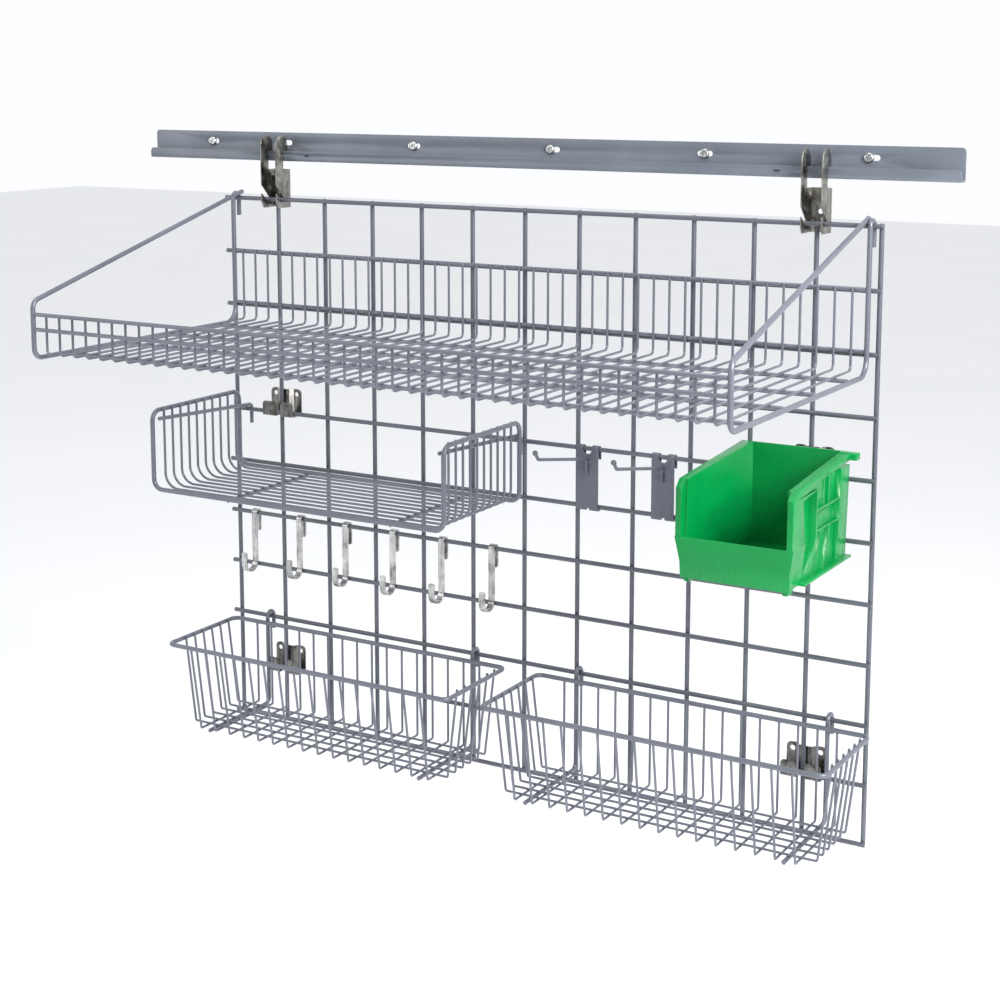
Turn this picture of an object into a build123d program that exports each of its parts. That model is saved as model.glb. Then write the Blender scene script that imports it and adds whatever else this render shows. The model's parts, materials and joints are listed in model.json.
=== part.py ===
from build123d import *
from math import atan2, cos, degrees, hypot, radians, sin, tan
import os

# Wire grid panel hung from a wall track, with its shelves, baskets, hooks and bin.
#
# Everything is drawn from the crossing of the grid's left upright and its top level wire:
# +X runs along the level wires, +Y runs into the wall and +Z is up.
# PLACE then moves each piece to the part's own frame, whose origin lies on the wall plane,
# midway along the track, at the height of its screws.

# ---- Grid -------------------------------------------------------------------------------
GRID_WIRE = 5.8
UPRIGHT_COUNT = 13
LEVEL_COUNT = 11
PITCH_X = 76.2
PITCH_Z = 72.4
LEFT_OVERHANG = 7.9
RIGHT_OVERHANG = 4.4
END_BREAK = 0.5
WELD = 0.2                    # how far two crossing welded wires sink into each other
RUNNING_GAP = 0.35            # room between a grid wire and anything that turns on it
WALL_Y = 17.0

# ---- Wall track -------------------------------------------------------------------------
TRACK_LENGTH = 1143.0
TRACK_LEFT = -140.0
TRACK_SHEET = 2.0
TRACK_TOP = 88.5
TRACK_BOTTOM = 51.0
TRACK_BEND = 1.6
TRACK_CORNER = 5.0
LIP_FRONT = 1.5
LIP_TOP = 64.5
SCREW_Z = 75.0
SLOT_LENGTH = 20.0
SLOT_WIDTH = 6.6
FIRST_SLOT = 100.0
SECOND_SLOT = 224.0
SLOT_PITCH = 203.2
SLOT_COUNT = 6
SCREW_SHIFTS = [0.0, -6.0, 0.0, -3.0, 0.0, -3.0]
SCREW_HEAD = 12.0
SCREW_HEAD_HEIGHT = 3.6
SCREW_SHANK = 5.0
RECESS_SPAN = 6.0
RECESS_WIDTH = 1.3
RECESS_DEPTH = 1.8
DRAIN_LENGTH = 8.0
DRAIN_WIDTH = 2.5
DRAIN_Z = 58.5
DRAIN_X = [127.0, 789.0]

# ---- Clips that hang the grid from the track --------------------------------------------
CLIP_WIRES = [1, 11]
CLIP_SHEET = 1.6
CLIP_WIDTH = 26.0
CLIP_BACK = 16.8
CLIP_FRONT = -15.0
CLIP_BOTTOM = -11.0
CLIP_SHOULDER = 40.0
CLIP_TOP = 85.0
CLIP_FINGER_BACK = 1.0
CLIP_TIP_FRONT = 4.0
CLIP_TIP_BACK = 10.5
CLIP_TIP_BOTTOM = 57.0
CLIP_ARCH_UNDERSIDE = 64.8
CLIP_MOUTH_LOW = 8.5
CLIP_MOUTH_HIGH = 20.0
CLIP_HOLE = 6.0
CLIP_HOLE_Z = 13.0
SEAT_RADIUS = 3.1

# ---- Wall brackets that hold the grid off the wall --------------------------------------
BRACKET_PLACES = {
    "left_upper_wall_bracket": (1, 4),
    "right_upper_wall_bracket": (11, 4),
    "left_lower_wall_bracket": (1, 9),
    "right_lower_wall_bracket": (11, 9),
}
BRACKET_SHEET = 1.6
BRACKET_HALF_WIDTH = 25.0
BRACKET_ABOVE = 31.0
BRACKET_BELOW = 5.0
BRACKET_CROWN_Y = 9.0
BRACKET_CROWN_HALF = 9.0
BRACKET_EAR_INNER = 13.0
BRACKET_CORNER = 6.0
BRACKET_HOLE = 6.5
BRACKET_HOLE_X = 17.5
BRACKET_HOLE_Z = 23.6
JAW_INNER_X = 5.0
JAW_FRONT = -4.8
JAW_ABOVE = 15.0
JAW_CORNER = 5.0

# ---- Big shelf --------------------------------------------------------------------------
BIG_LEFT = 9.0
BIG_RIGHT = 905.0
FRAME_WIRE = 6.0
BIG_FLOOR_Z = -168.0
BIG_FRONT = -387.0
BIG_TIE_START_Z = -100.0
BIG_TIE_END_Y = 6.0
BIG_TIE_END_Z = 8.4
BIG_TAIL_Z = -24.0
BIG_REAR_BEND = 20.0
BIG_FRONT_BEND = 12.0
LIP_RAIL_WIRE = 4.8
LIP_RAIL_HEIGHTS = [-115.0, -133.0]
FLOOR_WIRE = 5.0
FLOOR_WIRE_Z = -167.0
FLOOR_WIRE_Y = [-58.0, -157.0, -247.0, -342.0]
REAR_RAIL_WIRE = 4.5
REAR_RAIL_Y = -5.5
REAR_RAIL_HEIGHTS = [-70.5, -141.0]
SHELF_CROSS_WIRE = 3.0
SHELF_CROSS_COUNT = 43
SHELF_CROSS_PITCH = 20.5
SHELF_CROSS_BEND = 6.0
SHELF_CROSS_FRONT_TOP = -113.5
SHELF_CROSS_REAR_TOP = -68.6

# ---- Small shelf ------------------------------------------------------------------------
SMALL_LEVEL = 4
SMALL_LEFT = 15.5
SMALL_RIGHT = 459.0
SMALL_FRONT = -189.0
SMALL_REAR = -11.0
SMALL_RIM_Z = -263.5
SMALL_FLOOR_Z = -365.5
SMALL_BEND = 13.0
SMALL_CROSS_WIRE = 3.2
SMALL_CROSS_COUNT = 10
SMALL_CROSS_FIRST_Y = -171.4
SMALL_CROSS_PITCH = 16.3
SMALL_CROSS_BEND = 20.0
SMALL_RAIL_WIRE = 5.0
SMALL_RAIL_FRONT = -186.0
SMALL_RAIL_FRONT_Z = -273.0
SMALL_RAIL_TAIL_Y = 5.8
SMALL_RAIL_TAIL_DROP = 20.4
SMALL_BAR_WIRE = 5.0
SMALL_BAR_X = [127.0, 375.0]
SMALL_BAR_FRONT = -178.0

# ---- Baskets ----------------------------------------------------------------------------
BASKET_LEVEL = 8
BASKET_LEFTS = {"left_basket": 2.5, "right_basket": 487.5}
BASKET_LENGTH = 437.2
BASKET_RIM_WIRE = 5.8
BASKET_RIM_Z = -586.0
BASKET_RIM_FRONT = -155.0
BASKET_RIM_BEND = 10.0
BASKET_FLOOR_Z = -701.0
BASKET_FLOOR_FRONT = -138.0
BASKET_SIDE_TAPER = 18.0
BASKET_WIRE = 3.0
BASKET_CROSS_COUNT = 16
BASKET_CROSS_PITCH = 24.0
BASKET_WIRE_BEND = 2.6
BASKET_LONG_Y = [-34.0, -52.0, -70.0, -88.0, -106.0, -124.0]
BASKET_TIP_ABOVE = 4.0
BUTT = 0.45                   # how far a wire's cut end is welded into a heavy frame's side
RIM_BUTT = 0.25               # how far a thin wire's cut end is welded into a rim's underside
HANGER_WIRE = 5.5
HANGER_INSET = 52.5
HANGER_LEG_Y = -7.85
HANGER_TAIL_Y = 6.0
HANGER_TAIL_Z = -598.0
HANGER_ARCH_ABOVE = 6.9
HANGER_FLOOR_BEND = 9.0

# ---- Strap hooks ------------------------------------------------------------------------
HOOK_LEVEL = 6
HOOK_COUNT = 6
HOOK_OFFSET = 33.5
HOOK_WIDTH = 9.0
HOOK_THICKNESS = 2.5
HOOK_HEIGHT = 86.0
HOOK_REACH = 24.0
HOOK_TIP_HEIGHT = 29.0
HOOK_TAIL_DROP = 26.0

# ---- Peg hooks --------------------------------------------------------------------------
PEG_LEVEL = 4
PEG_CENTRES = [551.5, 654.2]
PEG_PLATE_WIDTH = 30.0
PEG_PLATE_SHEET = 1.5
PEG_PLATE_Y = -3.95
PEG_TAIL_DROP = 12.9
PEG_TAB_WIDTH = 9.0
PEG_NOTCH_DEPTH = 6.0
PEG_NOTCH_TIP = 3.0
PEG_FOOT_BACK = 3.0
PEG_FOOT_DROP = 4.25
PEG_RIB_HEIGHTS = [-306.0, -315.0]
PEG_RIB_LENGTH = 22.0
PEG_RIB_RADIUS = 1.2
PEG_WIRE = 4.0
PEG_LEG_BOTTOM = -320.0
PEG_LEG_TOP = -301.7
PEG_BEND = 4.5
PEG_TIP = (-128.0, -280.0)
PEG_END = (-135.0, -271.0)
PEG_BEAD = 6.5
PEG_BEAD_LENGTH = 5.5
PEG_BEAD_ROUND = 2.2

# ---- Plastic bin ------------------------------------------------------------------------
BIN_LEVEL = 4
BIN_CENTRE = 826.0
BIN_HALF_WIDTH = 68.0
BIN_LIP_HALF_WIDTH = 69.0
BIN_BASE_HALF_WIDTH = 60.5
BIN_WALL = 2.2
BIN_INSIDE_FRONT_HALF = 58.5
BIN_INSIDE_REAR_HALF = 53.5
BIN_REAR = -7.5
BIN_FRONT = -190.0
BIN_BASE_FRONT = -185.0
BIN_TOP = -256.0
BIN_SHOULDER = -268.0
BIN_SHOULDER_BEND = 9.0
BIN_LIP = -331.0
BIN_BOTTOM = -378.0
BIN_RIM = 2.6
BIN_TOP_BAND = 10.0
BIN_FRONT_BAND = 74.0
BIN_LEAF_FLOOR_HALF = 59.2
BIN_STEP_DEPTH = 10.0
BIN_STEP_HALF = 61.5
BIN_TAB_HALF = 75.5
BIN_TAB_DROP = 7.5
BIN_TAB_DEPTH = 12.0
BIN_LABEL_HALF = 49.5
BIN_LABEL_SHIFT = -5.5
BIN_LABEL_DEPTH = 0.9
BIN_LABEL_MARGIN = 3.5
BIN_RIB_HALF = 64.0
BIN_RIB_BASE_HALF = 61.0
BIN_MULLION_HALF = 61.5
BIN_RIB = 2.2
BIN_RIB_ROOT = 50.0
BIN_BAR_Y = -120.0
BIN_POST_Y = -35.0
BIN_LEDGES = [-303.0, -327.0]
BIN_MULLIONS = [-66.0, -80.0]
BIN_BLOCK_Y = -95.0
BIN_BLOCK_Z = -292.0
BIN_LEAF = [(-160.6, -282.0), (-120.0, -278.0), (-122.0, -337.0), (-137.0, -366.0), (-146.0, -372.0), (-151.5, -338.0), (-156.5, -306.0)]
BIN_STRUTS = [
    [(-88.0, -328.0), (-92.0, -328.0), (-101.0, -348.0), (-117.0, -378.0), (-112.0, -378.0), (-97.0, -348.0)],
    [(-62.0, -328.0), (-65.0, -328.0), (-74.0, -352.0), (-82.0, -378.0), (-77.0, -378.0), (-70.0, -352.0)],
]
BIN_FLANGE = 2.4
BIN_FLANGE_HALF = 68.4
BIN_FLANGE_FRONT = -152.0
BIN_FOOT_DROP = 4.5
BIN_FOOT_LENGTH = 16.0
BIN_FOOT_WIDTH = 6.0
BIN_FOOT_Y = -182.0
BIN_HOOK_X = 50.0
BIN_HOOK_WIDTH = 14.0
BIN_HOOK_ABOVE = 4.9
BIN_HOOK_TAIL_Y = 4.6
BIN_HOOK_TAIL_DROP = 10.4
BIN_HOOK_BEND = 2.0
BIN_HOOK_FOOT = 9.0

PLACE = Pos(-(TRACK_LEFT + TRACK_LENGTH / 2), -WALL_Y, -SCREW_Z)


def level_z(level):
    """Height of a level wire, counted down from the top one."""
    return -level * PITCH_Z


def upright_x(number):
    """Place of an upright, counted from the left one."""
    return number * PITCH_X


def break_ends(solid, ends):
    """Take the sharp edge off a round wire's cut ends."""
    for end in ends:
        rim = solid.edges().filter_by(GeomType.CIRCLE).sort_by_distance(end)[0]
        solid = chamfer(rim, END_BREAK)
    return solid


def straight_wire(start, end, diameter):
    """A straight round wire with its cut ends broken."""
    run = Vector(*end) - Vector(*start)
    section = Plane(origin=start, z_dir=run) * Circle(diameter / 2)
    return break_ends(extrude(section, amount=run.length), [start, end])


def bent_wire(points, diameter, bends):
    """A round wire along straight runs joined by bends of the given centreline radii."""
    path = FilletPolyline(*points, radius=bends)
    section = Plane(origin=path @ 0, z_dir=path % 0) * Circle(diameter / 2)
    return break_ends(sweep(section, path=path), [points[0], points[-1]])


def looped_half(points, diameter, bend):
    """Half of a closed wire loop: a bent wire whose ends stay square to meet the other half."""
    path = FilletPolyline(*points, radius=bend)
    section = Plane(origin=path @ 0, z_dir=path % 0) * Circle(diameter / 2)
    return sweep(section, path=path)


def bent_strip(points, width, thickness, bends, edge=0.0):
    """A flat strip, its width along X, that follows points in a YZ plane."""
    path = FilletPolyline(*points, radius=bends)
    start = Plane(origin=path @ 0, x_dir=(1, 0, 0), z_dir=path % 0)
    outline = RectangleRounded(width, thickness, edge) if edge else Rectangle(width, thickness)
    return sweep(start * outline, path=path)


def side_plate(outline, x, thickness):
    """A plate in the YZ plane from a closed outline of (y, z) points, thickened towards +X."""
    face = make_face(Polyline(*[(x, y, z) for y, z in outline], close=True))
    return extrude(face, amount=thickness, dir=(1, 0, 0))


def box_between(low, high):
    """A box from its lowest to its highest corner."""
    size = [b - a for a, b in zip(low, high)]
    centre = [(a + b) / 2 for a, b in zip(low, high)]
    return Pos(*centre) * Box(*size)


def round_plate_corners(solid, y_range, z, radius):
    """Round the corners of a plate that runs across Y, at the height z."""
    corners = [
        edge for edge in solid.edges().filter_by(Axis.Y)
        if abs(edge.center().Z - z) < TINY and y_range[0] < edge.center().Y < y_range[1]
    ]
    return fillet(corners, radius)


TINY = 0.01


# ---- Root: the track and what is screwed to the wall --------------------------------------
def slot_places():
    """Distance of each screw slot from the track's left end."""
    later = [SECOND_SLOT + SLOT_PITCH * i for i in range(SLOT_COUNT - 1)]
    return [FIRST_SLOT] + later


def wall_track():
    """A J-shaped rail: a screwed flange, a ledge and an upturned lip at the front."""
    half = TRACK_SHEET / 2
    middle = TRACK_LEFT + TRACK_LENGTH / 2
    points = [
        (middle, WALL_Y - half, TRACK_TOP),
        (middle, WALL_Y - half, TRACK_BOTTOM + half),
        (middle, LIP_FRONT + half, TRACK_BOTTOM + half),
        (middle, LIP_FRONT + half, LIP_TOP),
    ]
    track = bent_strip(points, TRACK_LENGTH, TRACK_SHEET, TRACK_BEND)
    track = round_plate_corners(track, (LIP_FRONT, WALL_Y), TRACK_TOP, TRACK_CORNER)
    track = round_plate_corners(track, (LIP_FRONT - 1, WALL_Y), LIP_TOP, TRACK_CORNER)
    for distance in slot_places():
        slot = extrude(Plane.XZ * SlotOverall(SLOT_LENGTH, SLOT_WIDTH), TRACK_SHEET, both=True)
        track -= Pos(TRACK_LEFT + distance, WALL_Y - half, SCREW_Z) * slot
    for x in DRAIN_X:
        drain = extrude(Plane.XZ * SlotOverall(DRAIN_LENGTH, DRAIN_WIDTH), TRACK_SHEET, both=True)
        track -= Pos(x, LIP_FRONT + half, DRAIN_Z) * drain
    return track


def track_screw():
    """A cross-recessed pan head screw, its axis along Y and its head's seat at the origin."""
    head = extrude(Plane.XZ * Circle(SCREW_HEAD / 2), SCREW_HEAD_HEIGHT)
    crown = head.edges().sort_by(Axis.Y)[0]
    head = fillet(crown, SCREW_HEAD_HEIGHT * 0.7)
    shank = extrude(Plane.XZ * Circle(SCREW_SHANK / 2), -TRACK_SHEET)
    screw = head + shank
    for angle in (0, 90):
        wing = Box(RECESS_SPAN, 2 * RECESS_DEPTH, RECESS_WIDTH)
        screw -= Pos(0, -SCREW_HEAD_HEIGHT, 0) * Rot(0, angle + 20, 0) * wing
    return screw


def track_screws():
    """One screw in each slot, some of them off the slot's middle."""
    seat_y = WALL_Y - TRACK_SHEET
    places = zip(slot_places(), SCREW_SHIFTS)
    return [Pos(TRACK_LEFT + x + shift, seat_y, SCREW_Z) * track_screw() for x, shift in places]


def wall_bracket(number, level):
    """A hat-section plate on the wall with two jaws that hold a level wire each side of an upright."""
    x = upright_x(number)
    z = level_z(level)
    half = BRACKET_SHEET / 2
    ear_y = WALL_Y - half
    crown_y = BRACKET_CROWN_Y + half
    low = z - BRACKET_BELOW
    section_points = [
        (x - BRACKET_HALF_WIDTH, ear_y, low),
        (x - BRACKET_EAR_INNER, ear_y, low),
        (x - BRACKET_CROWN_HALF, crown_y, low),
        (x + BRACKET_CROWN_HALF, crown_y, low),
        (x + BRACKET_EAR_INNER, ear_y, low),
        (x + BRACKET_HALF_WIDTH, ear_y, low),
    ]
    spine = FilletPolyline(*section_points, radius=BRACKET_SHEET)
    start = Plane(origin=spine @ 0, x_dir=(0, 0, 1), z_dir=spine % 0)
    height = BRACKET_ABOVE + BRACKET_BELOW
    plate = sweep(start * Pos(height / 2, 0) * Rectangle(height, BRACKET_SHEET), path=spine)
    plate = round_plate_corners(plate, (WALL_Y - 2, WALL_Y), z + BRACKET_ABOVE, BRACKET_CORNER)
    for side in (-1, 1):
        hole = Pos(x + side * BRACKET_HOLE_X, ear_y, z + BRACKET_HOLE_Z) * Rot(90, 0, 0)
        plate -= hole * Cylinder(BRACKET_HOLE / 2, 4 * BRACKET_SHEET)
        jaw_x = x + side * (JAW_INNER_X + BRACKET_HALF_WIDTH) / 2
        jaw_points = [
            (jaw_x, WALL_Y - half, low + half),
            (jaw_x, JAW_FRONT + half, low + half),
            (jaw_x, JAW_FRONT + half, z + JAW_ABOVE),
        ]
        jaw = bent_strip(jaw_points, BRACKET_HALF_WIDTH - JAW_INNER_X, BRACKET_SHEET, 1.2)
        plate += round_plate_corners(jaw, (JAW_FRONT - 1, 0), z + JAW_ABOVE, JAW_CORNER)
    return plate


# ---- Grid and the clips welded to its top wire --------------------------------------------
def grid_uprights():
    """The upright wires, behind the level ones."""
    y = GRID_WIRE - WELD / 2
    top = GRID_WIRE / 2
    bottom = level_z(LEVEL_COUNT - 1) - GRID_WIRE / 2
    places = [upright_x(i) for i in range(UPRIGHT_COUNT)]
    return [straight_wire((x, y, bottom), (x, y, top), GRID_WIRE) for x in places]


def grid_levels():
    """The level wires, in front of the uprights."""
    right = upright_x(UPRIGHT_COUNT - 1) + RIGHT_OVERHANG
    heights = [level_z(j) for j in range(LEVEL_COUNT)]
    return [straight_wire((-LEFT_OVERHANG, 0, z), (right, 0, z), GRID_WIRE) for z in heights]


def clip_cheek(x):
    """One cheek of a clip: a seat for the top wire below, a finger over the track's lip above."""
    arch_radius = (CLIP_TIP_BACK - CLIP_FRONT) / 2
    arch_z = CLIP_TOP - arch_radius
    outline = [
        (CLIP_BACK, CLIP_BOTTOM),
        (CLIP_FRONT + 5, CLIP_BOTTOM),
        (CLIP_FRONT, CLIP_BOTTOM + 8),
        (CLIP_FRONT, arch_z),
        (CLIP_TIP_BACK, arch_z),
        (CLIP_TIP_BACK, CLIP_TIP_BOTTOM),
        (CLIP_TIP_FRONT, CLIP_TIP_BOTTOM),
        (CLIP_TIP_FRONT, CLIP_ARCH_UNDERSIDE),
        (CLIP_FINGER_BACK, CLIP_ARCH_UNDERSIDE),
        (CLIP_FINGER_BACK, CLIP_SHOULDER),
        (CLIP_BACK, CLIP_SHOULDER),
    ]
    cheek = side_plate(outline, x, CLIP_SHEET)
    arch_centre = (x + CLIP_SHEET / 2, CLIP_FRONT + arch_radius, arch_z)
    arch = Pos(*arch_centre) * Rot(0, 90, 0) * Cylinder(arch_radius, CLIP_SHEET)
    cheek += arch - box_between((x - 1, -50, arch_z - 50), (x + 5, 50, arch_z))
    mouth_middle = (CLIP_MOUTH_LOW + CLIP_MOUTH_HIGH) / 2
    tilt = atan2(mouth_middle, -CLIP_FRONT)
    off_y = SEAT_RADIUS * sin(tilt)
    off_z = SEAT_RADIUS * cos(tilt)
    mouth = [
        (CLIP_FRONT - 1, CLIP_MOUTH_LOW + 1),
        (CLIP_FRONT - 1, CLIP_MOUTH_HIGH + 1),
        (off_y, off_z),
        (-off_y, -off_z),
    ]
    cheek -= side_plate(mouth, x - 1, CLIP_SHEET + 2)
    return cheek - Pos(x, 0, 0) * Rot(0, 90, 0) * Cylinder(SEAT_RADIUS, 4 * CLIP_SHEET)


def hanging_clip(number):
    """A bent-up clip: a back web with two cheeks that pass each side of an upright."""
    x = upright_x(number)
    half = CLIP_WIDTH / 2
    web_front = CLIP_BACK - CLIP_SHEET
    web = box_between((x - half, web_front, CLIP_BOTTOM), (x + half, CLIP_BACK, CLIP_SHOULDER))
    clip = web + clip_cheek(x - half) + clip_cheek(x + half - CLIP_SHEET)
    back_corners = [
        edge for edge in clip.edges().filter_by(Axis.Z)
        if abs(edge.center().Y - CLIP_BACK) < TINY
    ]
    clip = fillet(back_corners, CLIP_SHEET)
    hole = Pos(x, CLIP_BACK, CLIP_HOLE_Z) * Rot(90, 0, 0)
    return clip - hole * Cylinder(CLIP_HOLE / 2, 4 * CLIP_SHEET)


# ---- Big shelf ------------------------------------------------------------------------------
def big_shelf_frame(x, inward):
    """One bent wire: hook, rear post, bottom bar, front post and the tie back to the top."""
    post = GRID_WIRE / 2 + FRAME_WIRE / 2 + RUNNING_GAP
    tie_x = x + inward * (FRAME_WIRE + 0.4)
    points = [
        (x, post, BIG_TAIL_Z),
        (x, post, post),
        (x, -post, post),
        (x, -post, BIG_FLOOR_Z),
        (x, BIG_FRONT, BIG_FLOOR_Z),
        (x, BIG_FRONT, BIG_TIE_START_Z),
        (tie_x, BIG_TIE_END_Y, BIG_TIE_END_Z),
    ]
    arch = post - 0.05
    bends = [arch, arch, BIG_REAR_BEND, BIG_FRONT_BEND, BIG_FRONT_BEND]
    return bent_wire(points, FRAME_WIRE, bends)


def between_big_frames(y, z, diameter):
    """A straight wire whose ends are welded to the inner sides of both frames."""
    reach = FRAME_WIRE / 2 - BUTT
    return straight_wire((BIG_LEFT + reach, y, z), (BIG_RIGHT - reach, y, z), diameter)


def big_shelf_cross_wires():
    """The thin wires that run up the lip, over the floor and up the rear panel."""
    radius = SHELF_CROSS_WIRE / 2
    front_y = BIG_FRONT + LIP_RAIL_WIRE / 2 + radius - WELD
    rear_y = REAR_RAIL_Y - REAR_RAIL_WIRE / 2 - radius + WELD
    floor_z = FLOOR_WIRE_Z + FLOOR_WIRE / 2 + radius - WELD
    run = (SHELF_CROSS_COUNT - 1) * SHELF_CROSS_PITCH
    first = (BIG_LEFT + BIG_RIGHT - run) / 2
    wires = []
    for i in range(SHELF_CROSS_COUNT):
        x = first + i * SHELF_CROSS_PITCH
        points = [
            (x, front_y, SHELF_CROSS_FRONT_TOP),
            (x, front_y, floor_z),
            (x, rear_y, floor_z),
            (x, rear_y, SHELF_CROSS_REAR_TOP),
        ]
        wires.append(bent_wire(points, SHELF_CROSS_WIRE, SHELF_CROSS_BEND))
    return wires


# ---- Small shelf ----------------------------------------------------------------------------
def mirrored_loop(half, x):
    """Join half a loop to its mirror image in the plane at x."""
    return half + mirror(half, about=Plane(origin=(x, 0, 0), z_dir=(1, 0, 0)))


def small_shelf_frame():
    """The heavy wire: a U at the front, a U at the rear and the two side rims between them."""
    middle = (SMALL_LEFT + SMALL_RIGHT) / 2
    points = [
        (middle, SMALL_FRONT, SMALL_FLOOR_Z),
        (SMALL_RIGHT, SMALL_FRONT, SMALL_FLOOR_Z),
        (SMALL_RIGHT, SMALL_FRONT, SMALL_RIM_Z),
        (SMALL_RIGHT, SMALL_REAR, SMALL_RIM_Z),
        (SMALL_RIGHT, SMALL_REAR, SMALL_FLOOR_Z),
        (middle, SMALL_REAR, SMALL_FLOOR_Z),
    ]
    return mirrored_loop(looped_half(points, FRAME_WIRE, SMALL_BEND), middle)


def small_cross_inset():
    """How far inside the rim's axis the thin wires' legs run."""
    return FRAME_WIRE / 2 + SMALL_CROSS_WIRE / 2 - WELD


def small_bar_z():
    """Height of the bars under the floor."""
    return SMALL_FLOOR_Z - FRAME_WIRE / 2 - SMALL_BAR_WIRE / 2 + WELD


def small_shelf_cross_wires():
    """Thin U-shaped wires from one rim down, across the floor and up to the other."""
    inset = small_cross_inset()
    left = SMALL_LEFT + inset
    right = SMALL_RIGHT - inset
    floor_z = small_bar_z() + SMALL_BAR_WIRE / 2 + SMALL_CROSS_WIRE / 2 - WELD
    wires = []
    for i in range(SMALL_CROSS_COUNT):
        y = SMALL_CROSS_FIRST_Y + i * SMALL_CROSS_PITCH
        points = [
            (left, y, SMALL_RIM_Z + 2),
            (left, y, floor_z),
            (right, y, floor_z),
            (right, y, SMALL_RIM_Z + 2),
        ]
        wires.append(bent_wire(points, SMALL_CROSS_WIRE, SMALL_CROSS_BEND))
    return wires


def small_shelf_hook_rails():
    """The two wires that carry the shelf: along the thin wires' legs and down behind the grid."""
    inset = small_cross_inset() + SMALL_CROSS_WIRE / 2 + SMALL_RAIL_WIRE / 2 - WELD
    wire_z = level_z(SMALL_LEVEL)
    rails = []
    for x in (SMALL_LEFT + inset, SMALL_RIGHT - inset):
        points = [
            (x, SMALL_RAIL_FRONT, SMALL_RAIL_FRONT_Z),
            (x, SMALL_RAIL_TAIL_Y, wire_z + SMALL_RAIL_TAIL_Y),
            (x, SMALL_RAIL_TAIL_Y, wire_z - SMALL_RAIL_TAIL_DROP),
        ]
        rails.append(bent_wire(points, SMALL_RAIL_WIRE, SMALL_RAIL_TAIL_Y - 0.3))
    return rails


def small_shelf_floor_bars():
    """Two bars under the floor, from the rear wire forward."""
    z = small_bar_z()
    rear = SMALL_REAR + FRAME_WIRE / 2
    return [straight_wire((x, SMALL_BAR_FRONT, z), (x, rear, z), SMALL_BAR_WIRE) for x in SMALL_BAR_X]


# ---- Baskets --------------------------------------------------------------------------------
def basket_rim_rear():
    """The rear rim lies against the front of the hangers' legs."""
    return HANGER_LEG_Y - HANGER_WIRE / 2 - BASKET_RIM_WIRE / 2 + WELD


def basket_long_floor_z():
    """The long wires lie on the cross wires."""
    return BASKET_FLOOR_Z + BASKET_WIRE - WELD


def basket_rim(left):
    """The closed rim wire."""
    right = left + BASKET_LENGTH
    middle = left + BASKET_LENGTH / 2
    rear = basket_rim_rear()
    points = [
        (middle, BASKET_RIM_FRONT, BASKET_RIM_Z),
        (right, BASKET_RIM_FRONT, BASKET_RIM_Z),
        (right, rear, BASKET_RIM_Z),
        (middle, rear, BASKET_RIM_Z),
    ]
    return mirrored_loop(looped_half(points, BASKET_RIM_WIRE, BASKET_RIM_BEND), middle)


def basket_cross_wires(left):
    """Thin wires down the rear wall, over the floor and up the sloping front wall."""
    rear = basket_rim_rear()
    top = BASKET_RIM_Z - BASKET_RIM_WIRE / 2 + RIM_BUTT
    first = left + (BASKET_LENGTH - (BASKET_CROSS_COUNT - 1) * BASKET_CROSS_PITCH) / 2
    wires = []
    for i in range(BASKET_CROSS_COUNT):
        x = first + i * BASKET_CROSS_PITCH
        points = [
            (x, rear, top),
            (x, rear, BASKET_FLOOR_Z),
            (x, BASKET_FLOOR_FRONT, BASKET_FLOOR_Z),
            (x, BASKET_RIM_FRONT, top),
        ]
        path = FilletPolyline(*points, radius=BASKET_WIRE_BEND)
        section = Plane(origin=path @ 0, z_dir=path % 0) * Circle(BASKET_WIRE / 2)
        wires.append(sweep(section, path=path))
    return wires


def basket_long_wires(left):
    """Thin wires along the floor that turn up the sloping ends, inside the rim."""
    right = left + BASKET_LENGTH
    floor_z = basket_long_floor_z()
    rim_inset = BASKET_RIM_WIRE / 2 + BASKET_WIRE / 2 - WELD
    slope = (BASKET_SIDE_TAPER - rim_inset) / (BASKET_RIM_Z - floor_z)
    tip_inset = rim_inset - slope * BASKET_TIP_ABOVE
    tip_z = BASKET_RIM_Z + BASKET_TIP_ABOVE
    wires = []
    for y in BASKET_LONG_Y:
        points = [
            (left + tip_inset, y, tip_z),
            (left + BASKET_SIDE_TAPER, y, floor_z),
            (right - BASKET_SIDE_TAPER, y, floor_z),
            (right - tip_inset, y, tip_z),
        ]
        wires.append(bent_wire(points, BASKET_WIRE, BASKET_WIRE_BEND))
    return wires


def basket_hangers(left):
    """Two wires that hook over the grid, run down behind the basket and forward under its floor."""
    arch_top = level_z(BASKET_LEVEL) + HANGER_ARCH_ABOVE
    arch = (HANGER_TAIL_Y - HANGER_LEG_Y) / 2 - 0.05
    floor_z = basket_long_floor_z() - BASKET_WIRE / 2 - HANGER_WIRE / 2 + WELD
    hangers = []
    for x in (left + HANGER_INSET, left + BASKET_LENGTH - HANGER_INSET):
        points = [
            (x, HANGER_TAIL_Y, HANGER_TAIL_Z),
            (x, HANGER_TAIL_Y, arch_top),
            (x, HANGER_LEG_Y, arch_top),
            (x, HANGER_LEG_Y, floor_z),
            (x, BASKET_FLOOR_FRONT, floor_z),
        ]
        hangers.append(bent_wire(points, HANGER_WIRE, [arch, arch, HANGER_FLOOR_BEND]))
    return hangers


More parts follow.
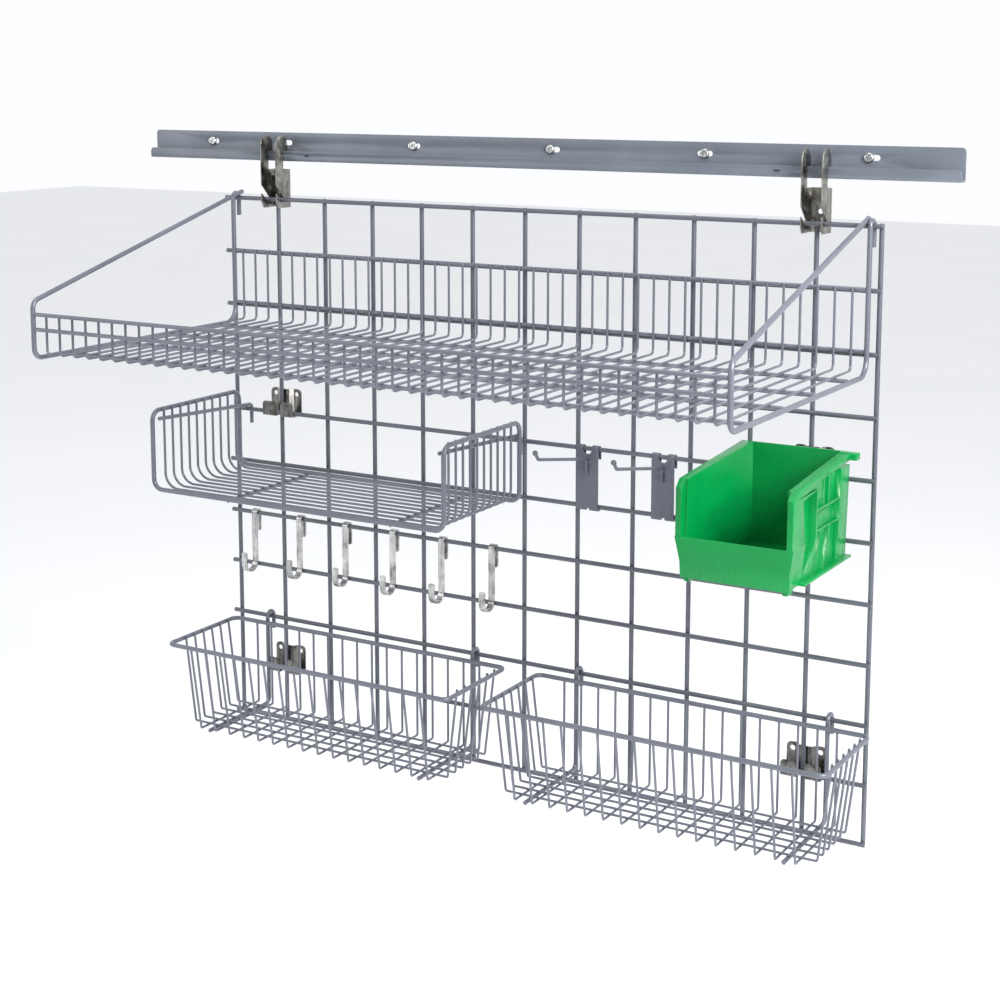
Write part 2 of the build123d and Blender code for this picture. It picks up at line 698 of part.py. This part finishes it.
# ---- Hooks ----------------------------------------------------------------------------------
def strap_hook(x):
    """A flat strap bent into a J, with a smaller bend over the grid wire at its top."""
    wire_z = level_z(HOOK_LEVEL)
    shank = GRID_WIRE / 2 + RUNNING_GAP + HOOK_THICKNESS / 2
    bottom = wire_z + shank + HOOK_THICKNESS - HOOK_HEIGHT
    tip_y = -shank - HOOK_REACH
    tip_z = bottom - HOOK_THICKNESS / 2 + HOOK_TIP_HEIGHT
    points = [
        (x, shank, wire_z - HOOK_TAIL_DROP),
        (x, shank, wire_z + shank),
        (x, -shank, wire_z + shank),
        (x, -shank, bottom),
        (x, tip_y, bottom),
        (x, tip_y, tip_z),
    ]
    arch = shank - 0.05
    throat = HOOK_REACH / 2 - 0.05
    hook = bent_strip(points, HOOK_WIDTH, HOOK_THICKNESS, [arch, arch, throat, throat], 0.6)
    return round_strap_end(round_strap_end(hook, tip_y, tip_z), shank, wire_z - HOOK_TAIL_DROP)


def round_strap_end(strap, y, z):
    """Cut a strap's end at (y, z) to a half round, whichever way it points."""
    radius = HOOK_WIDTH / 2 - 0.7
    centre_x = strap.center(CenterOf.BOUNDING_BOX).X
    upward = 1 if y < 0 else -1
    end = Pos(centre_x, y, z - upward * radius)
    block = box_between((-HOOK_WIDTH, -3, 0), (HOOK_WIDTH, 3, 2 * HOOK_WIDTH))
    if upward < 0:
        block = Rot(180, 0, 0) * block
    keep = Rot(90, 0, 0) * Cylinder(radius + 0.7, 2 * HOOK_THICKNESS)
    return strap - end * (block - keep)


def peg_plate(x):
    """A pressed plate that hooks over one level wire and tucks its foot under the next."""
    wire_z = level_z(PEG_LEVEL)
    foot_z = level_z(PEG_LEVEL + 1) - PEG_FOOT_DROP
    sheet = PEG_PLATE_SHEET
    front = PEG_PLATE_Y
    points = [
        (x, -front, wire_z - PEG_TAIL_DROP),
        (x, -front, wire_z - front),
        (x, front, wire_z - front),
        (x, front, foot_z),
        (x, PEG_FOOT_BACK, foot_z),
    ]
    arch = -front - 0.05
    plate = bent_strip(points, PEG_PLATE_WIDTH, sheet, [arch, arch, 1.5])
    gap = PEG_PLATE_WIDTH / 2 - PEG_TAB_WIDTH
    notch_z = wire_z - PEG_NOTCH_DEPTH
    plate -= box_between((x - gap, -1, wire_z - 20), (x + gap, 8, wire_z + 8))
    notch = [(-gap, 12), (-gap, 4), (-PEG_NOTCH_TIP, 0), (PEG_NOTCH_TIP, 0), (gap, 4), (gap, 12)]
    face = make_face(Polyline(*[(x + a, front - 3, notch_z + b) for a, b in notch], close=True))
    plate -= extrude(face, amount=6, dir=(0, 1, 0))
    gap_low = box_between((x - gap / 2, front - 3, foot_z - 3), (x + gap / 2, 6, foot_z + 3))
    plate -= gap_low
    for z in PEG_RIB_HEIGHTS:
        rib = Rot(0, 90, 0) * Cylinder(PEG_RIB_RADIUS, PEG_RIB_LENGTH)
        plate += Pos(x, front - sheet / 2 + 0.4, z) * rib - box_between(
            (x - 30, front, z - 5), (x + 30, 5, z + 5)
        )
    return plate


def peg_wire(x):
    """The peg: a leg welded down the plate, a long arm and an upturned end with a bead."""
    leg_y = PEG_PLATE_Y - PEG_PLATE_SHEET / 2 - PEG_WIRE / 2 - PEG_RIB_RADIUS + 0.4 + WELD
    points = [
        (x, leg_y, PEG_LEG_BOTTOM),
        (x, leg_y, PEG_LEG_TOP),
        (x, *PEG_TIP),
        (x, *PEG_END),
    ]
    arm = looped_half(points, PEG_WIRE, PEG_BEND)
    bead = Cylinder(PEG_BEAD / 2, PEG_BEAD_LENGTH)
    bead = fillet(bead.edges().filter_by(GeomType.CIRCLE), PEG_BEAD_ROUND)
    direction = Vector(*points[3]) - Vector(*points[2])
    return arm + Plane(origin=points[3], z_dir=direction) * bead


# ---- Bin ------------------------------------------------------------------------------------
def bin_side_outline(front_inset=0.0, top_inset=0.0):
    """Side view of the bin as (y, z) points, drawn in from its open edges."""
    return [
        (BIN_REAR, BIN_BOTTOM),
        (BIN_REAR, BIN_TOP - top_inset),
        (BIN_FRONT + BIN_SHOULDER_BEND, BIN_SHOULDER - top_inset),
        (BIN_FRONT + front_inset, BIN_SHOULDER - BIN_SHOULDER_BEND),
        (BIN_FRONT + front_inset, BIN_LIP),
        (BIN_BASE_FRONT + front_inset, BIN_BOTTOM),
    ]


def bin_plan(thickness):
    """The bin's walls seen from above, as a prism that narrows towards the rear."""
    front = BIN_INSIDE_FRONT_HALF + thickness
    rear = BIN_INSIDE_REAR_HALF + thickness
    corners = [(-front, BIN_FRONT), (front, BIN_FRONT), (rear, BIN_REAR), (-rear, BIN_REAR)]
    plan = make_face(Polyline(*corners, close=True))
    return Pos(0, 0, BIN_BOTTOM) * extrude(plan, amount=BIN_TOP - BIN_BOTTOM)


def bin_cavity():
    """The room inside the bin, open at the top and above the front lip."""
    profile = [
        (BIN_REAR - BIN_WALL, BIN_BOTTOM + BIN_WALL),
        (BIN_REAR - BIN_WALL, BIN_TOP),
        (BIN_FRONT, BIN_TOP),
        (BIN_FRONT, BIN_LIP),
        (BIN_FRONT + BIN_WALL, BIN_LIP),
        (BIN_BASE_FRONT + BIN_WALL, BIN_BOTTOM + BIN_WALL),
    ]
    room = side_plate(profile, -BIN_HALF_WIDTH, 2 * BIN_HALF_WIDTH)
    step = box_between(
        (-BIN_STEP_HALF, BIN_FRONT, BIN_LIP), (BIN_STEP_HALF, BIN_FRONT + BIN_STEP_DEPTH, BIN_TOP)
    )
    return (bin_plan(0.0) & room) + step


def bin_tub():
    """Floor and walls before they are hollowed out."""
    block = side_plate(bin_side_outline(), -BIN_HALF_WIDTH, 2 * BIN_HALF_WIDTH)
    return bin_plan(BIN_WALL) & block


def side_band(front, top, half):
    """A band along the front and top edges of the right wall, out to half a width."""
    outer = side_plate(bin_side_outline(), BIN_RIB_ROOT, half - BIN_RIB_ROOT)
    hollow = side_plate(bin_side_outline(front, top), BIN_RIB_ROOT - 1, half)
    return outer - hollow


def bin_front():
    """The front wall, narrowing to its foot, with a shallow panel for a label."""
    corners = [
        (-BIN_LIP_HALF_WIDTH, BIN_FRONT, BIN_LIP),
        (BIN_LIP_HALF_WIDTH, BIN_FRONT, BIN_LIP),
        (BIN_BASE_HALF_WIDTH, BIN_BASE_FRONT, BIN_BOTTOM),
        (-BIN_BASE_HALF_WIDTH, BIN_BASE_FRONT, BIN_BOTTOM),
    ]
    wall = extrude(make_face(Polyline(*corners, close=True)), amount=BIN_WALL, dir=(0, 1, 0))
    lean = degrees(atan2(BIN_BASE_FRONT - BIN_FRONT, BIN_LIP - BIN_BOTTOM))
    middle = Pos(BIN_LABEL_SHIFT, (BIN_FRONT + BIN_BASE_FRONT) / 2, (BIN_LIP + BIN_BOTTOM) / 2)
    height = BIN_LIP - BIN_BOTTOM - 2 * BIN_LABEL_MARGIN
    panel = Box(2 * BIN_LABEL_HALF, 2 * BIN_LABEL_DEPTH, height)
    return wall - middle * Rot(lean, 0, 0) * panel


def taper_wedge(half, base_half, top, y_range):
    """What lies outside a plane that leans in from half a width at top to base_half at the foot."""
    far = 2 * BIN_HALF_WIDTH
    start, end = y_range
    corners = [
        (half, start, top), (far, start, top), (far, start, BIN_BOTTOM), (base_half, start, BIN_BOTTOM)
    ]
    return extrude(make_face(Polyline(*corners, close=True)), amount=end - start, dir=(0, 1, 0))


def bin_front_band():
    """The broad front band of the right wall, with its leaf-shaped recess."""
    band = side_band(BIN_FRONT_BAND, BIN_TOP_BAND, BIN_HALF_WIDTH)
    keep = box_between((0, BIN_FRONT, BIN_BOTTOM), (BIN_HALF_WIDTH, BIN_BAR_Y + BIN_RIB, BIN_TOP))
    leaf = side_plate(BIN_LEAF, BIN_LEAF_FLOOR_HALF, BIN_HALF_WIDTH)
    wedge = taper_wedge(BIN_HALF_WIDTH, BIN_BASE_HALF_WIDTH, BIN_LIP, (BIN_FRONT, BIN_BAR_Y + BIN_RIB))
    return (band & keep) - leaf - wedge


def bin_side_windows():
    """The rear post, ledges, mullions and struts behind the front band of the right wall."""
    def rib(y_range, z_range, half=BIN_RIB_HALF):
        return box_between((BIN_RIB_ROOT, y_range[0], z_range[0]), (half, y_range[1], z_range[1]))

    full = (BIN_BOTTOM, BIN_SHOULDER - BIN_RIM)
    ribs = side_band(BIN_RIM, BIN_TOP_BAND, BIN_RIB_HALF)
    ribs += rib((BIN_BAR_Y, BIN_BAR_Y + BIN_RIB), full)
    ribs += rib((BIN_POST_Y, BIN_REAR), full)
    for z in BIN_LEDGES:
        ribs += rib((BIN_BAR_Y, BIN_POST_Y), (z - BIN_RIB, z))
    ribs += rib((BIN_BAR_Y, BIN_BLOCK_Y), (BIN_BLOCK_Z, BIN_SHOULDER - BIN_RIM))
    for y in BIN_MULLIONS:
        ribs += rib((y - BIN_RIB, y), (BIN_LEDGES[0] - 1, BIN_SHOULDER - BIN_RIM), BIN_MULLION_HALF)
    for strut in BIN_STRUTS:
        ribs += side_plate(strut, BIN_RIB_ROOT, BIN_RIB_HALF - BIN_RIB_ROOT)
    wedge = taper_wedge(BIN_RIB_HALF, BIN_RIB_BASE_HALF, BIN_TOP, (BIN_BAR_Y - 1, BIN_REAR))
    return ribs - wedge


def bin_right_side():
    """Everything that stands out from the right wall."""
    side = side_band(BIN_RIM, BIN_RIM, BIN_HALF_WIDTH)
    side -= taper_wedge(BIN_HALF_WIDTH, BIN_BASE_HALF_WIDTH, BIN_LIP, (BIN_FRONT, BIN_BAR_Y))
    side += bin_front_band()
    side += bin_side_windows()
    side += box_between(
        (BIN_RIB_ROOT, BIN_FLANGE_FRONT, BIN_BOTTOM), (BIN_FLANGE_HALF, BIN_REAR, BIN_BOTTOM + BIN_FLANGE)
    )
    side += box_between(
        (BIN_BASE_HALF_WIDTH - BIN_FOOT_WIDTH, BIN_FOOT_Y, BIN_BOTTOM - BIN_FOOT_DROP),
        (BIN_BASE_HALF_WIDTH, BIN_FOOT_Y + BIN_FOOT_LENGTH, BIN_BOTTOM + 1),
    )
    return side


def bin_rear_tab():
    """The ear that carries on from the rear rim at the right corner."""
    return box_between(
        (BIN_RIB_ROOT, BIN_REAR - BIN_TAB_DEPTH, BIN_TOP - BIN_TAB_DROP),
        (BIN_TAB_HALF, BIN_REAR, BIN_TOP),
    )


def storage_bin():
    """The moulded bin as one solid, without its hooks."""
    right_side = bin_right_side()
    body = bin_tub() + right_side + mirror(right_side, about=Plane.YZ)
    body = body - bin_cavity() + bin_front()
    body += bin_rear_tab() - bin_cavity()
    return Pos(BIN_CENTRE, 0, 0) * body


def bin_hook(x):
    """A moulded hook on the rear wall that hangs over a level wire."""
    wire_z = level_z(BIN_LEVEL)
    face_y = BIN_REAR + BIN_WALL / 2
    top = wire_z + BIN_HOOK_ABOVE
    points = [
        (x, face_y, top - BIN_HOOK_FOOT),
        (x, face_y, top),
        (x, BIN_HOOK_TAIL_Y, top),
        (x, BIN_HOOK_TAIL_Y, wire_z - BIN_HOOK_TAIL_DROP),
    ]
    return bent_strip(points, BIN_HOOK_WIDTH, BIN_WALL, BIN_HOOK_BEND)


def bin_hooks():
    """Both hooks of the bin."""
    return [bin_hook(BIN_CENTRE + side * BIN_HOOK_X) for side in (-1, 1)]


# ---- All nodes ------------------------------------------------------------------------------
def all_nodes():
    """Every named piece, or family of like pieces, in the drawing frame."""
    nodes = {"wall_track": wall_track(), "track_screws": track_screws()}
    for name, (number, level) in BRACKET_PLACES.items():
        nodes[name] = wall_bracket(number, level)
    nodes["grid_uprights"] = grid_uprights()
    nodes["grid_level_wires"] = grid_levels()
    for name, number in zip(("left_hanging_clip", "right_hanging_clip"), CLIP_WIRES):
        nodes[name] = hanging_clip(number)

    nodes["big_shelf_left_frame"] = big_shelf_frame(BIG_LEFT, 1)
    nodes["big_shelf_right_frame"] = big_shelf_frame(BIG_RIGHT, -1)
    nodes["big_shelf_cross_wires"] = big_shelf_cross_wires()
    nodes["big_shelf_floor_wires"] = [
        between_big_frames(y, FLOOR_WIRE_Z, FLOOR_WIRE) for y in FLOOR_WIRE_Y
    ]
    nodes["big_shelf_lip_rails"] = [
        between_big_frames(BIG_FRONT, z, LIP_RAIL_WIRE) for z in LIP_RAIL_HEIGHTS
    ]
    nodes["big_shelf_rear_rails"] = [
        between_big_frames(REAR_RAIL_Y, z, REAR_RAIL_WIRE) for z in REAR_RAIL_HEIGHTS
    ]

    nodes["small_shelf_frame"] = small_shelf_frame()
    nodes["small_shelf_cross_wires"] = small_shelf_cross_wires()
    nodes["small_shelf_hook_rails"] = small_shelf_hook_rails()
    nodes["small_shelf_floor_bars"] = small_shelf_floor_bars()

    for name, left in BASKET_LEFTS.items():
        nodes[name + "_rim"] = basket_rim(left)
        nodes[name + "_cross_wires"] = basket_cross_wires(left)
        nodes[name + "_long_wires"] = basket_long_wires(left)
        nodes[name + "_hangers"] = basket_hangers(left)

    for i in range(HOOK_COUNT):
        nodes[f"strap_hook_{i + 1}"] = strap_hook(HOOK_OFFSET + i * PITCH_X)
    for i, x in enumerate(PEG_CENTRES):
        nodes[f"peg_plate_{i + 1}"] = peg_plate(x)
        nodes[f"peg_wire_{i + 1}"] = peg_wire(x)
    nodes["storage_bin"] = storage_bin()
    nodes["bin_hooks"] = bin_hooks()
    return nodes


def write_nodes():
    """Write each node, moved to the part's frame, as one STEP file."""
    os.makedirs("parts", exist_ok=True)
    for name, piece in all_nodes().items():
        pieces = piece if isinstance(piece, list) else [piece]
        solids = [solid for item in pieces for solid in (PLACE * item).solids()]
        export_step(Compound(solids), f"parts/{name}.step")


write_nodes()
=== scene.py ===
import json
import math

import bmesh
import bpy
from mathutils import Matrix, Vector


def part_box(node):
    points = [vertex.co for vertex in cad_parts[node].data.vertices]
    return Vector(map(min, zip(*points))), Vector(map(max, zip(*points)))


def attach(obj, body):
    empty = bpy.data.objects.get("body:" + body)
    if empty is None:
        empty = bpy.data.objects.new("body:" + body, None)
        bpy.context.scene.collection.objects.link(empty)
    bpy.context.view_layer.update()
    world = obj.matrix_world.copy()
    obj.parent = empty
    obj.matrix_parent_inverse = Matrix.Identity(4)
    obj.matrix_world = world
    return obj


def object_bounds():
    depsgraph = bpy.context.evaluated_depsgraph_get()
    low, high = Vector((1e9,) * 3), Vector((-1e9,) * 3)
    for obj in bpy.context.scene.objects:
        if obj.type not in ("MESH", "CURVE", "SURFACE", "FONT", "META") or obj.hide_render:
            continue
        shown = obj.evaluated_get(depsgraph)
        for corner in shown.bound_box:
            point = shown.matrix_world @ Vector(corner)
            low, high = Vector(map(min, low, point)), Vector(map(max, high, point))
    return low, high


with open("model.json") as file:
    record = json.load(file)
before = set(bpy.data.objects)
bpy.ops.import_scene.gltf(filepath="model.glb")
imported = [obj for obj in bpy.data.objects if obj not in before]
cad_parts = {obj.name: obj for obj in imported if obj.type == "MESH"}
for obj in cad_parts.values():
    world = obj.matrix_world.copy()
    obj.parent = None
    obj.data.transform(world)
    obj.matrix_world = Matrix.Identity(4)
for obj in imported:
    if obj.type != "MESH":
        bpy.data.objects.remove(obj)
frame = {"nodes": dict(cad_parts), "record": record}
cad_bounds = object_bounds()

MM = 0.001

# ---- Grid wires, for the weld beads ----------------------------------------------------------
GRID_WIRE_RADIUS = 2.9 * MM
UPRIGHTS = 13
LEVEL_WIRES = 11
BEAD_HALVES = (2.5 * MM, 1.5 * MM, 2.5 * MM)
BEAD_SINK = 0.1 * MM

# ---- Camera ---------------------------------------------------------------------------------
# The view is from the right of the panel, from above its track and looking slightly down.
CAMERA_PLACE = (1.1588, -1.9978, 0.1017)
CAMERA_TURN = math.radians(30.484)
CAMERA_DIP = math.radians(8.743)
CAMERA_LENS_MM = 66.58
SENSOR_MM = 36.0
CAMERA_SHIFT = -0.15

# ---- Room -----------------------------------------------------------------------------------
FLOOR_DROP = 0.30
FLOOR_HALF = 12.0
ROOM_COLOUR = (0.96, 0.97, 1.0, 1.0)
ROOM_STRENGTH = 1.02
ROOM_FRONT_STRENGTH = 0.5
FALL_FROM = -0.9
FALL_TO = 0.2

# Name, place, aim, size in metres and power in watts.
SOFT_LIGHTS = [
    ("key", (1.7, -0.8, 0.5), (0.4, -0.2, -0.3), 0.8, 48.0),
    ("fill", (-2.2, -2.2, 0.6), (0.0, -0.1, -0.3), 1.8, 16.0),
    ("top", (0.0, -0.9, 2.4), (0.0, -0.5, -0.6), 2.0, 30.0),
]


# ---- Material building ----------------------------------------------------------------------
def new_material(name):
    """A material with only a Principled shader, its output and object coordinates."""
    material = bpy.data.materials.new(name)
    material.use_nodes = True
    tree = material.node_tree
    tree.nodes.clear()
    shader = tree.nodes.new("ShaderNodeBsdfPrincipled")
    output = tree.nodes.new("ShaderNodeOutputMaterial")
    tree.links.new(shader.outputs["BSDF"], output.inputs["Surface"])
    place = tree.nodes.new("ShaderNodeTexCoord").outputs["Object"]
    return material, tree, shader, place


def stretched(tree, place, scale):
    """Coordinates scaled by a different amount along each axis."""
    mapping = tree.nodes.new("ShaderNodeMapping")
    mapping.inputs["Scale"].default_value = scale
    tree.links.new(place, mapping.inputs["Vector"])
    return mapping.outputs["Vector"]


def noise(tree, place, scale, detail=4.0, rough=0.55):
    """A noise value between 0 and 1."""
    node = tree.nodes.new("ShaderNodeTexNoise")
    node.inputs["Scale"].default_value = scale
    node.inputs["Detail"].default_value = detail
    node.inputs["Roughness"].default_value = rough
    tree.links.new(place, node.inputs["Vector"])
    return node.outputs["Fac"]


def spread(tree, value, low, high):
    """A noise value spread to the range low to high."""
    node = tree.nodes.new("ShaderNodeMapRange")
    node.inputs["From Min"].default_value = 0.3
    node.inputs["From Max"].default_value = 0.7
    node.inputs["To Min"].default_value = low
    node.inputs["To Max"].default_value = high
    tree.links.new(value, node.inputs["Value"])
    return node.outputs["Result"]


def blend_colours(tree, value, stops):
    """A colour ramp through (place, colour) stops."""
    node = tree.nodes.new("ShaderNodeValToRGB")
    ramp = node.color_ramp
    for element, (place, colour) in zip(ramp.elements, (stops[0], stops[-1])):
        element.position = place
        element.color = (*colour, 1.0)
    for place, colour in stops[1:-1]:
        ramp.elements.new(place).color = (*colour, 1.0)
    tree.links.new(value, node.inputs["Fac"])
    return node.outputs["Color"]


def bump(tree, height, shader, strength, depth_mm):
    """Relief from a height value onto the shader's normal."""
    node = tree.nodes.new("ShaderNodeBump")
    node.inputs["Strength"].default_value = strength
    node.inputs["Distance"].default_value = depth_mm * MM
    tree.links.new(height, node.inputs["Height"])
    tree.links.new(node.outputs["Normal"], shader.inputs["Normal"])


def add_values(tree, first, second):
    """The sum of two values."""
    node = tree.nodes.new("ShaderNodeMath")
    node.operation = "ADD"
    tree.links.new(first, node.inputs[0])
    tree.links.new(second, node.inputs[1])
    return node.outputs["Value"]


def shade(colour, factor):
    """A colour made lighter or darker."""
    return tuple(min(1.0, c * factor) for c in colour)


# ---- Materials ------------------------------------------------------------------------------
def coated_metal(name, colour, roughness, grain, coat):
    """Epoxy-coated steel: slight colour drift, orange peel and a thin glossy coat."""
    material, tree, shader, place = new_material(name)
    drift = noise(tree, place, 9.0)
    stops = [(0.3, shade(colour, 0.86)), (0.52, colour), (0.75, shade(colour, 1.14))]
    tree.links.new(blend_colours(tree, drift, stops), shader.inputs["Base Color"])
    patches = noise(tree, place, 60.0)
    rough = spread(tree, patches, roughness - 0.06, roughness + 0.08)
    tree.links.new(rough, shader.inputs["Roughness"])
    peel = noise(tree, place, grain, 3.0)
    bump(tree, peel, shader, 0.35, 0.05)
    shader.inputs["Metallic"].default_value = 0.25
    shader.inputs["Coat Weight"].default_value = coat
    shader.inputs["Coat Roughness"].default_value = 0.18
    return material


def plated_metal(name, light, dark, roughness, streak_scale, mottle):
    """Plated sheet: rolling streaks along its length under a cloudy plate."""
    material, tree, shader, place = new_material(name)
    clouds = noise(tree, place, mottle, 6.0, 0.65)
    streaks = noise(tree, stretched(tree, place, streak_scale), 1.0, 5.0, 0.6)
    both = add_values(tree, spread(tree, clouds, 0.0, 0.6), spread(tree, streaks, 0.0, 0.4))
    middle = tuple((a + b) / 2 for a, b in zip(light, dark))
    stops = [(0.15, dark), (0.5, middle), (0.85, light)]
    tree.links.new(blend_colours(tree, both, stops), shader.inputs["Base Color"])
    rough = spread(tree, clouds, roughness - 0.07, roughness + 0.12)
    tree.links.new(rough, shader.inputs["Roughness"])
    bump(tree, streaks, shader, 0.25, 0.03)
    shader.inputs["Metallic"].default_value = 1.0
    return material


def moulded_plastic(name, colour):
    """Glossy polypropylene: flow marks in the colour, a fine mould grain and soft scuffs."""
    material, tree, shader, place = new_material(name)
    flow = noise(tree, stretched(tree, place, (9.0, 9.0, 26.0)), 1.0, 4.0)
    stops = [(0.3, shade(colour, 0.88)), (0.55, colour), (0.8, shade(colour, 1.1))]
    tree.links.new(blend_colours(tree, flow, stops), shader.inputs["Base Color"])
    scuffs = noise(tree, stretched(tree, place, (60.0, 60.0, 8.0)), 1.0, 6.0, 0.7)
    tree.links.new(spread(tree, scuffs, 0.20, 0.36), shader.inputs["Roughness"])
    grain = noise(tree, place, 900.0, 2.0)
    bump(tree, grain, shader, 0.12, 0.04)
    shader.inputs["Subsurface Weight"].default_value = 0.12
    shader.inputs["Subsurface Radius"].default_value = (0.2, 1.0, 0.3)
    shader.inputs["Subsurface Scale"].default_value = 0.003
    shader.inputs["Specular IOR Level"].default_value = 0.3
    return material


def pale_floor(name):
    """A matt pale floor with a faint unevenness."""
    material, tree, shader, place = new_material(name)
    cloud = noise(tree, place, 1.5)
    stops = [(0.3, (0.93, 0.94, 0.95)), (0.7, (0.96, 0.965, 0.97))]
    tree.links.new(blend_colours(tree, cloud, stops), shader.inputs["Base Color"])
    shader.inputs["Roughness"].default_value = 0.85
    return material


WIRE_GREY = (0.128, 0.138, 0.170)
GRID_GREY = (0.100, 0.108, 0.132)
TRACK_GREY = (0.135, 0.155, 0.185)
PEG_GREY = (0.105, 0.115, 0.145)
BIN_GREEN = (0.0004, 0.235, 0.05)

MATERIALS = {
    "wire_coat": coated_metal("wire_coat", WIRE_GREY, 0.36, 1500.0, 0.5),
    "grid_coat": coated_metal("grid_coat", GRID_GREY, 0.40, 1500.0, 0.4),
    "track_coat": coated_metal("track_coat", TRACK_GREY, 0.42, 700.0, 0.35),
    "peg_coat": coated_metal("peg_coat", PEG_GREY, 0.42, 1100.0, 0.3),
    "hook_chrome": plated_metal(
        "hook_chrome", (0.72, 0.72, 0.70), (0.13, 0.13, 0.13), 0.16, (900.0, 900.0, 30.0), 55.0
    ),
    "clip_nickel": plated_metal(
        "clip_nickel", (0.46, 0.45, 0.41), (0.085, 0.08, 0.07), 0.30, (700.0, 700.0, 45.0), 70.0
    ),
    "bracket_nickel": plated_metal(
        "bracket_nickel", (0.36, 0.355, 0.33), (0.055, 0.05, 0.045), 0.32, (700.0, 700.0, 45.0), 90.0
    ),
    "screw_zinc": plated_metal(
        "screw_zinc", (0.80, 0.80, 0.79), (0.30, 0.30, 0.30), 0.25, (300.0, 300.0, 300.0), 200.0
    ),
    "bin_plastic": moulded_plastic("bin_plastic", BIN_GREEN),
}


# ---- CAD nodes: finish and edges ------------------------------------------------------------
SEAM_MM = 0.002
SOFT_EDGE_ANGLE = math.radians(40)
SOFT_EDGES_MM = {
    "clip": 0.35,
    "bracket": 0.35,
    "peg_plate": 0.3,
    "wall_track": 0.4,
    "storage_bin": 0.55,
}


def dress(node, slot_name):
    """Give a CAD node its material, smooth shading and, where it is sheet, softened edges."""
    piece = frame["nodes"][node]
    piece.data.materials.clear()
    piece.data.materials.append(MATERIALS[slot_name])
    for polygon in piece.data.polygons:
        polygon.use_smooth = True
    for key, width in SOFT_EDGES_MM.items():
        if key in node:
            weld = piece.modifiers.new("join_seams", "WELD")
            weld.merge_threshold = SEAM_MM * MM
            soften = piece.modifiers.new("soft_edges", "BEVEL")
            soften.width = width * MM
            soften.segments = 2
            soften.limit_method = "ANGLE"
            soften.angle_limit = SOFT_EDGE_ANGLE
            soften.harden_normals = True


for subpart in frame["record"]["subparts"]:
    dress(subpart["node"], subpart["material_slot"])


# ---- Weld beads -----------------------------------------------------------------------------
def bead_mesh(name, beads):
    """One mesh of small flattened beads, each given as (centre, half sizes)."""
    mesh = bpy.data.meshes.new(name)
    shape = bmesh.new()
    for centre, halves in beads:
        matrix = Matrix.Translation(centre) @ Matrix.Diagonal((*halves, 1.0))
        bmesh.ops.create_uvsphere(shape, u_segments=10, v_segments=6, radius=1.0, matrix=matrix)
    for face in shape.faces:
        face.smooth = True
    shape.to_mesh(mesh)
    shape.free()
    piece = bpy.data.objects.new(name, mesh)
    bpy.context.scene.collection.objects.link(piece)
    return piece


def evenly(first, last, count):
    """Count places from first to last."""
    step = (last - first) / (count - 1)
    return [first + i * step for i in range(count)]


def add_beads(name, beads, body, slot_name):
    """Weld beads that ride on a body and take its wires' finish."""
    piece = bead_mesh(name, beads)
    piece.data.materials.append(MATERIALS[slot_name])
    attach(piece, body)


def axis_range(node, axis, radius):
    """The first and last wire axes of a family of wires along one axis."""
    low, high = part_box(node)
    return low[axis] + radius, high[axis] - radius


def grid_beads():
    """Where each level wire crosses each upright."""
    left, right = axis_range("grid_uprights", 0, GRID_WIRE_RADIUS)
    bottom, top = axis_range("grid_level_wires", 2, GRID_WIRE_RADIUS)
    joint_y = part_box("grid_level_wires")[1].y - BEAD_SINK
    return [
        (Vector((x, joint_y, z)), BEAD_HALVES)
        for x in evenly(left, right, UPRIGHTS)
        for z in evenly(bottom, top, LEVEL_WIRES)
    ]


add_beads("grid_weld_beads", grid_beads(), "grid", "grid_coat")


# ---- Camera, light and room -----------------------------------------------------------------
def make_camera():
    """The camera, to the right of the panel and looking slightly down."""
    data = bpy.data.cameras.new("camera")
    data.lens = CAMERA_LENS_MM
    data.sensor_width = SENSOR_MM
    data.shift_y = CAMERA_SHIFT
    camera = bpy.data.objects.new("camera", data)
    camera.location = CAMERA_PLACE
    camera.rotation_euler = (math.pi / 2 - CAMERA_DIP, 0.0, CAMERA_TURN)
    bpy.context.scene.collection.objects.link(camera)
    bpy.context.scene.camera = camera


def soft_light(name, place, target, size, power):
    """A square area light aimed at a point."""
    data = bpy.data.lights.new(name, "AREA")
    data.size = size
    data.energy = power
    light = bpy.data.objects.new(name, data)
    light.location = place
    light.rotation_mode = "QUATERNION"
    aim = Vector(target) - Vector(place)
    light.rotation_quaternion = aim.to_track_quat("-Z", "Y")
    bpy.context.scene.collection.objects.link(light)


def make_room():
    """The pale floor and a pale surround that is dimmer in front of the panel than behind it."""
    bpy.context.scene.view_settings.view_transform = "Standard"
    low = cad_bounds[0].z - FLOOR_DROP
    bpy.ops.mesh.primitive_plane_add(size=2 * FLOOR_HALF, location=(0, 0, low))
    floor = bpy.context.object
    floor.name = "floor"
    floor.data.materials.append(pale_floor("pale_floor"))
    world = bpy.data.worlds.new("room")
    world.use_nodes = True
    background = world.node_tree.nodes["Background"]
    background.inputs["Color"].default_value = ROOM_COLOUR
    tree = world.node_tree
    facing = tree.nodes.new("ShaderNodeSeparateXYZ")
    direction = tree.nodes.new("ShaderNodeTexCoord")
    tree.links.new(direction.outputs["Generated"], facing.inputs["Vector"])
    fall = tree.nodes.new("ShaderNodeMapRange")
    fall.inputs["From Min"].default_value = FALL_FROM
    fall.inputs["From Max"].default_value = FALL_TO
    fall.inputs["To Min"].default_value = ROOM_FRONT_STRENGTH
    fall.inputs["To Max"].default_value = ROOM_STRENGTH
    tree.links.new(facing.outputs["Y"], fall.inputs["Value"])
    tree.links.new(fall.outputs["Result"], background.inputs["Strength"])
    bpy.context.scene.world = world


make_camera()
make_room()
for light_values in SOFT_LIGHTS:
    soft_light(*light_values)
